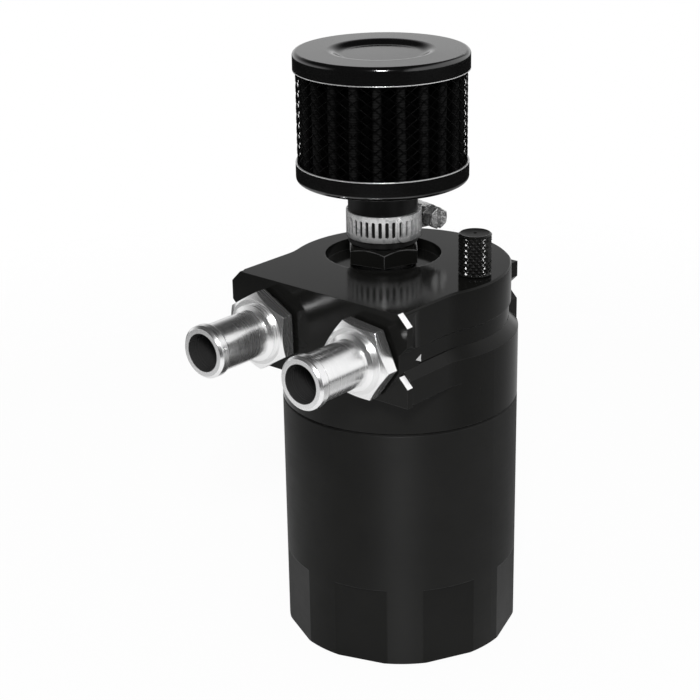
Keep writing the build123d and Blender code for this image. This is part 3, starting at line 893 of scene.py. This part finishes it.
@dataclass
class BreatherFilter:
    """Breather filter: pleats, woven wire sleeve, enamelled caps with bright rims, and rubber neck."""

    centre: Pair = (-9.3, 3.4)
    sleeve_radius: float = 26.62
    sleeve_bottom: float = 150.9
    sleeve_top: float = 188.2
    sleeve_turn: float = math.radians(2.37)
    wire_radius: float = 0.16
    wire_sway: float = 0.1
    wire_sides: int = 6
    wire_count: int = 38
    wire_sharp: float = 80.0
    cell_height: float = 3.3
    cell_steps: int = 6
    pleat_count: int = 21
    pleat_steps: int = 18
    pleat_levels: int = 16
    pleat_turn: float = math.radians(-1.8)
    pleat_sharp: float = 70.0
    crest_radius: float = 25.8
    root_radius: float = 21.0
    sheet: float = 0.42
    pleat_bottom: float = 151.2
    pleat_top: float = 189.6
    fold_sharpness: float = 1.9
    drift: float = 0.006
    drift_waves: int = 5
    drift_start: float = 1.3
    top_rim: Pair = (27.7, 184.4)
    base_rim: Pair = (27.4, 155.05)
    rim_sheet: float = 0.5
    rim_height: float = 0.22
    rim_skin: float = 0.03
    rim_steps: int = 180

    def build(self) -> None:
        """Dress the caps and the neck, and build the sleeve, the pleats and the rims."""
        dress(ENAMEL, "filter_base_cap", "filter_top_cap")
        dress(RUBBER, "filter_neck")
        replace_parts(self.sleeve(), "filter_mesh")
        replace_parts(self.pleats(), "filter_media")
        self.rims()

    def sleeve(self) -> bpy.types.Object:
        """Weave the wire sleeve from two sets of slanting wires that pass over and under each other.

        Returns:
            The sleeve.
        """
        piece = Piece("wire_sleeve")
        cell_turn = TURN / self.wire_count
        height = self.sleeve_top - self.sleeve_bottom
        steps = round(self.cell_steps * height / self.cell_height)
        for lean in (-1, 1):
            for wire in range(self.wire_count):
                rows = []
                for step in range(steps + 1):
                    cells = step / self.cell_steps
                    angle = self.sleeve_turn + cell_turn * (wire + lean * cells)
                    sway = self.wire_sway * lean * math.cos(TURN * cells)
                    lift = self.sleeve_bottom + self.cell_height * cells
                    rows.append(piece.row(self.strand(angle, lift, sway, lean)))
                piece.skin(rows)
                piece.cover(rows[0], flip=True)
                piece.cover(rows[-1])
        return piece.make(WIRE, Body.FILTER, self.wire_sharp)

    def strand(self, angle: float, height: float, sway: float, lean: int) -> list[Point]:
        """Section of one wire, square to its run.

        Args:
            angle: place round the axis.
            height: height of its middle.
            sway: how far it lies outside the sleeve's radius.
            lean: which way it slants.

        Returns:
            The points in order round the wire.
        """
        run = self.sleeve_radius * TURN / self.wire_count
        slant = math.hypot(run, self.cell_height)
        points = []
        for side in range(self.wire_sides):
            turn = TURN * side / self.wire_sides
            across = self.wire_radius * math.sin(turn) / slant
            points.append(polar(
                self.centre,
                self.sleeve_radius + sway + self.wire_radius * math.cos(turn),
                angle - across * self.cell_height / self.sleeve_radius,
                height + lean * across * run,
            ))
        return points

    def fold(self, angle: float) -> float:
        """Share of the pleat's depth at an angle: 1 on a crest and 0 at a root, both well rounded."""
        wave = math.cos(self.pleat_count * (angle - self.pleat_turn))
        return 0.5 + 0.5 * math.tanh(self.fold_sharpness * wave) / math.tanh(self.fold_sharpness)

    def pleats(self) -> bpy.types.Object:
        """Fold the gauze into rounded pleats, a little uneven from fold to fold.

        Returns:
            The pleated ring.
        """
        piece = Piece("gauze_pleats")
        shares = [level / self.pleat_levels for level in range(self.pleat_levels + 1)]
        outside = [piece.row(self.gauze(share, 0.0)) for share in shares]
        inside = [piece.row(self.gauze(share, self.sheet)) for share in reversed(shares)]
        piece.skin(outside + inside, looped=True)
        return piece.make(GAUZE, Body.FILTER, self.pleat_sharp)

    def gauze(self, share: float, depth: float) -> list[Point]:
        """Level line of the folded gauze.

        Args:
            share: share of the pleats' height.
            depth: how far inside the outer face it runs.

        Returns:
            The points in order round the axis.
        """
        height = self.pleat_bottom + (self.pleat_top - self.pleat_bottom) * share
        around = self.pleat_count * self.pleat_steps
        bend = self.drift * math.sin(TURN * share)
        points = []
        for step in range(around):
            angle = TURN * step / around
            drift = bend * math.sin(self.drift_waves * angle + self.drift_start)
            reach = (self.crest_radius - self.root_radius) * self.fold(angle + drift)
            points.append(polar(self.centre, self.root_radius + reach - depth, angle, height))
        return points

    def rims(self) -> bpy.types.Object:
        """Bright cut edges of the two caps.

        Returns:
            Both rims as one piece.
        """
        piece = Piece("cap_rims")
        turns = [TURN * step / self.rim_steps for step in range(self.rim_steps)]
        for (radius, height), rise in ((self.top_rim, 1), (self.base_rim, -1)):
            inner = radius - self.rim_sheet - self.rim_skin
            outer = radius + self.rim_skin
            low, high = sorted((height - rise * self.rim_skin, height + rise * self.rim_height))
            profile = [
                (inner, low), (radius, low), (outer, (low + high) / 2), (radius, high), (inner, high)
            ]
            rows = [
                piece.row([polar(self.centre, reach, angle, lift) for angle in turns])
                for reach, lift in profile
            ]
            piece.skin(rows, looped=True)
        return piece.make(CUT_EDGE, Body.FILTER)


@dataclass
class WormClamp:
    """Worm-drive clamp: band, housing and screw."""

    strip: str = "clamp_band"
    drive: tuple[str, str] = ("clamp_housing", "clamp_screw")

    def build(self) -> None:
        """Dress the band and its drive."""
        dress(ZINC, self.strip)
        dress(POLISHED, *self.drive)


@dataclass
class Dipstick:
    """Dipstick: knurled knob with its screwed stub, and the rod."""

    centre: Pair = (27.0, 4.2)
    seat: float = 124.4
    knob_radius: float = 5.2
    knob_height: float = 13.4
    chamfer: float = 0.45
    lip: Pair = (0.25, 0.45)
    face_sink: float = 0.08
    dimple: float = 0.7
    hub: float = 0.02
    plain_band: float = 0.15
    knurl_starts: int = 18
    knurl_steps: int = 14
    knurl_depth: float = 0.54
    knurl_slope: float = 0.97
    knurl_crest: float = 1.12
    knurl_fade: float = 0.4
    row_height: float = 0.13
    stub_radius: float = 3.0
    stub_length: float = 12.0
    stub_chamfer: float = 0.4
    socket_radius: float = 1.85
    socket_depth: float = 6.0
    thread_relief: float = 1.8
    thread_height: float = 0.14
    thread_pitch: float = 1.0
    thread_steps: int = 48
    sharp: float = 24.0

    def build(self) -> None:
        """Dress the rod and build the knob and its thread."""
        dress(ROD_STEEL, "dipstick_rod")
        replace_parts(self.knob(), "dipstick_knob")
        Thread(
            "knob_thread", Body.DIPSTICK, KNOB_BLACK, self.stub_radius,
            bottom=self.seat - self.stub_length + self.stub_chamfer,
            top=self.seat - self.thread_relief,
            height=self.thread_height, pitch=self.thread_pitch, centre=self.centre,
            steps=self.thread_steps,
        ).build()

    def relief(self, angle: float, height: float) -> float:
        """Depth of the knurl at a place.

        Args:
            angle: place round the knob.
            height: height above the knob's foot.

        Returns:
            Depth below the knob's radius.
        """
        low = self.chamfer + self.plain_band
        high = self.knob_height - self.chamfer - self.plain_band
        if not low < height < high:
            return 0.0
        pitch = TURN * self.knob_radius / self.knurl_starts
        lift = self.knurl_slope * height / pitch
        turn = self.knurl_starts * angle / TURN
        ridges = [abs(2 * ((turn + lean * lift) % 1.0) - 1) for lean in (-1, 1)]
        fade = min(1.0, (height - low) / self.knurl_fade, (high - height) / self.knurl_fade)
        return self.knurl_depth * fade * (1 - min(1.0, self.knurl_crest * min(ridges)))

    def profile(self) -> list[Pair]:
        """Outline of the knob.

        Returns:
            Radius and height above the seat of each corner, from the socket round to the dimple.
        """
        top = self.knob_height
        rim = self.knob_radius - self.chamfer
        face = top - self.face_sink
        socket = self.socket_depth - self.stub_length
        grip = top - 2 * self.chamfer
        rises = round(grip / self.row_height)
        return [
            (self.hub, socket),
            (self.socket_radius, socket),
            (self.socket_radius, -self.stub_length),
            (self.stub_radius - self.stub_chamfer, -self.stub_length),
            (self.stub_radius, self.stub_chamfer - self.stub_length),
            (self.stub_radius, 0.0),
            (rim, 0.0),
            *((self.knob_radius, self.chamfer + grip / rises * rise) for rise in range(rises + 1)),
            (rim, top),
            (rim - self.lip[0], top),
            (rim - self.lip[1], face),
            (self.dimple, face),
            (self.hub, face - self.dimple / 2),
        ]

    def knob(self) -> bpy.types.Object:
        """Turn the knob: knurled grip, chamfers, dished top face and stub with its socket.

        Returns:
            The knob.
        """
        piece = Piece("knurled_knob")
        columns = self.knurl_starts * self.knurl_steps
        turns = [TURN * column / columns for column in range(columns)]
        rows = []
        for radius, height in self.profile():
            points = []
            for angle in turns:
                depth = self.relief(angle, height) if radius == self.knob_radius else 0.0
                points.append(polar(self.centre, radius - depth, angle, self.seat + height))
            rows.append(piece.row(points))
        piece.skin(rows)
        piece.cover(rows[0], flip=True)
        piece.cover(rows[-1])
        return piece.make(KNOB_BLACK, Body.DIPSTICK, self.sharp)


@dataclass
class Studio:
    """Plain studio: pale floor, white backdrop, one soft lamp and the camera."""

    floor_radius: float = 0.46
    floor_solid: float = 0.27
    floor_drop: float = 0.0002
    floor_level: float = 0.9
    floor_rough: float = 0.9
    floor_ior: float = 1.2
    floor_white: float = 0.94
    floor_mirror: float = 0.1
    rings: int = 24
    spokes: int = 96
    flag: Point = (0.4, 0.917, 0.0)
    flag_reach: Pair = (0.03, 0.12)
    flag_shade: float = 0.45
    sheet: Point = (-0.662, 0.749, 0.0)
    sheet_width: Pair = (-0.5, -0.05)
    sheet_height: Pair = (0.64, -0.03)
    wing: Point = (0.749, 0.662, 0.0)
    wing_width: Pair = (0.38, 0.62)
    wing_height: Pair = (0.95, 0.6)
    horizon: Pair = (-0.16, -0.02)
    fill: float = 0.5
    dark: float = 0.015
    lamp_place: Point = (0.658, -0.784, 0.837)
    lamp_aim: Point = (0.0, 0.0, 0.1)
    lamp_size: float = 0.24
    lamp_power: float = 12.0
    camera_place: Point = (0.3474, -0.4168, 0.3032)
    azimuth: float = 41.5
    drop: float = 0.3677
    roll: float = -0.0177
    focal_pixels: float = 1800.0
    image_pixels: float = 700.0
    sensor: float = 36.0
    clip_start: float = 0.01

    def build(self) -> None:
        """Set up the floor, the world, the lamp and the camera."""
        self.floor()
        self.world()
        self.lamp()
        self.camera()
        bpy.context.scene.view_settings.view_transform = "Standard"

    def floor(self) -> bpy.types.Object:
        """Round pale floor that fades out towards its edge.

        Returns:
            The floor.
        """
        points = [(0.0, 0.0, 0.0)]
        faces = []
        for ring in range(1, self.rings + 1):
            radius = self.floor_radius * ring / self.rings
            for spoke in range(self.spokes):
                points.append(polar((0.0, 0.0), radius, TURN * spoke / self.spokes, 0.0))
        for spoke in range(self.spokes):
            after = (spoke + 1) % self.spokes
            faces.append((0, 1 + spoke, 1 + after))
            for ring in range(self.rings - 1):
                low = 1 + ring * self.spokes
                high = low + self.spokes
                faces.append((low + spoke, high + spoke, high + after, low + after))
        mesh = bpy.data.meshes.new("floor")
        mesh.from_pydata(points, [], faces)
        mesh.materials.append(self.floor_material())
        floor = bpy.data.objects.new("floor", mesh)
        floor.location.z = -self.floor_drop
        bpy.context.scene.collection.objects.link(floor)
        return floor

    def floor_material(self) -> bpy.types.Material:
        """Matt pale floor, lifted to white with its shadow kept; darker behind the can in reflections.

        Returns:
            The material.
        """
        graph = ShaderGraph("floor_white")
        graph.set(Base_Color=grey(self.floor_level), Roughness=self.floor_rough, IOR=self.floor_ior)
        rays = graph.node("ShaderNodeLightPath").outputs
        mirrored = rays["Is Glossy Ray"]
        seen = graph.combine("MAXIMUM", rays["Is Camera Ray"], rays["Is Transmission Ray"])
        share = graph.combine(
            "MAXIMUM",
            graph.combine("MULTIPLY", seen, self.floor_white),
            graph.combine("MULTIPLY", mirrored, self.floor_mirror),
        )
        white = graph.node("ShaderNodeEmission", {"Color": grey(1.0), "Strength": 1.0})
        shaders = {0: share, 1: graph.shader.outputs["BSDF"], 2: white.outputs["Emission"]}
        lifted = graph.node("ShaderNodeMixShader", shaders).outputs["Shader"]
        spot = graph.place((1, 1, 0))
        edge = graph.ramp(graph.measure("LENGTH", spot), (self.floor_solid, self.floor_radius))
        beyond = graph.measure("DOT_PRODUCT", spot, self.flag)
        shade = graph.ramp(beyond, self.flag_reach, (0.0, self.flag_shade))
        fade = graph.combine("MAXIMUM", edge, graph.combine("MULTIPLY", shade, mirrored))
        clear = graph.node("ShaderNodeBsdfTransparent").outputs["BSDF"]
        mixed = graph.node("ShaderNodeMixShader", {0: fade, 1: lifted, 2: clear})
        graph.show(mixed.outputs["Shader"])
        return graph.material

    def world(self) -> None:
        """White backdrop behind the can and beside it, a dim room elsewhere, and an even soft fill."""
        world = bpy.data.worlds.new("studio")
        bpy.context.scene.world = world
        world.use_nodes = True
        graph = NodeGraph(world.node_tree)
        way = graph.node("ShaderNodeTexCoord").outputs["Generated"]
        height = graph.node("ShaderNodeSeparateXYZ", {"Vector": way}).outputs["Z"]

        def smooth(value: Socket, span: Pair) -> Socket:
            """Smooth step from 0 to 1 over a span."""
            return graph.ramp(value, span, interpolation_type="SMOOTHSTEP")

        def screen(toward: Point, width: Pair, tall: Pair) -> Socket:
            """White screen in one direction, which fades out to its sides and upwards."""
            ahead = graph.measure("DOT_PRODUCT", way, toward)
            return graph.combine("MULTIPLY", smooth(ahead, width), smooth(height, tall))

        sheet = screen(self.sheet, self.sheet_width, self.sheet_height)
        wing = screen(self.wing, self.wing_width, self.wing_height)
        white = graph.combine("MAXIMUM", sheet, wing)
        white = graph.combine("MULTIPLY", white, smooth(height, self.horizon))
        shown = graph.combine("MAXIMUM", white, self.dark)
        rays = graph.node("ShaderNodeLightPath").outputs
        mirrored = graph.combine("MAXIMUM", rays["Is Glossy Ray"], rays["Is Transmission Ray"])
        level = graph.node("ShaderNodeMix", {0: mirrored, 2: self.fill, 3: shown}).outputs[0]
        level = graph.combine("MAXIMUM", level, rays["Is Camera Ray"])
        light = graph.node("ShaderNodeBackground", {"Color": grey(1.0), "Strength": level})
        graph.node("ShaderNodeOutputWorld", {"Surface": light.outputs["Background"]})

    def lamp(self) -> bpy.types.Object:
        """Square soft lamp in front, which points at the can.

        Returns:
            The lamp.
        """
        light = bpy.data.lights.new("lamp_front", "AREA")
        light.shape = "SQUARE"
        light.size = self.lamp_size
        light.energy = self.lamp_power
        lamp = bpy.data.objects.new("lamp_front", light)
        lamp.location = self.lamp_place
        ahead = Vector(self.lamp_aim) - Vector(self.lamp_place)
        lamp.rotation_euler = ahead.to_track_quat("-Z", "Y").to_euler()
        bpy.context.scene.collection.objects.link(lamp)
        return lamp

    def camera(self) -> bpy.types.Object:
        """Camera at the photograph's viewing angle.

        Returns:
            The camera.
        """
        turn = math.radians(self.azimuth)
        ahead = Vector((
            -math.sin(turn) * math.cos(self.drop),
            math.cos(turn) * math.cos(self.drop),
            -math.sin(self.drop),
        ))
        level = Vector((math.cos(turn), math.sin(turn), 0.0))
        upward = level.cross(ahead)
        right = math.cos(self.roll) * level + math.sin(self.roll) * upward
        up = math.cos(self.roll) * upward - math.sin(self.roll) * level
        data = bpy.data.cameras.new("camera")
        data.sensor_width = self.sensor
        data.lens = self.sensor * self.focal_pixels / self.image_pixels
        data.clip_start = self.clip_start
        camera = bpy.data.objects.new("camera", data)
        turned = Matrix((right, up, -ahead)).transposed()
        camera.matrix_world = Matrix.Translation(self.camera_place) @ turned.to_4x4()
        bpy.context.scene.collection.objects.link(camera)
        bpy.context.scene.camera = camera
        return camera


def main() -> None:
    """Build the can's groups in order, then the studio."""
    logging.basicConfig(level=logging.INFO, format="%(message)s")
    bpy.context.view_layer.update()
    for group in (CanBody(), HoseFittings(), BreatherFilter(), WormClamp(), Dipstick()):
        log.info("%s", type(group).__name__)
        group.build()
    Studio().build()


if __name__ == "__main__":
    main()
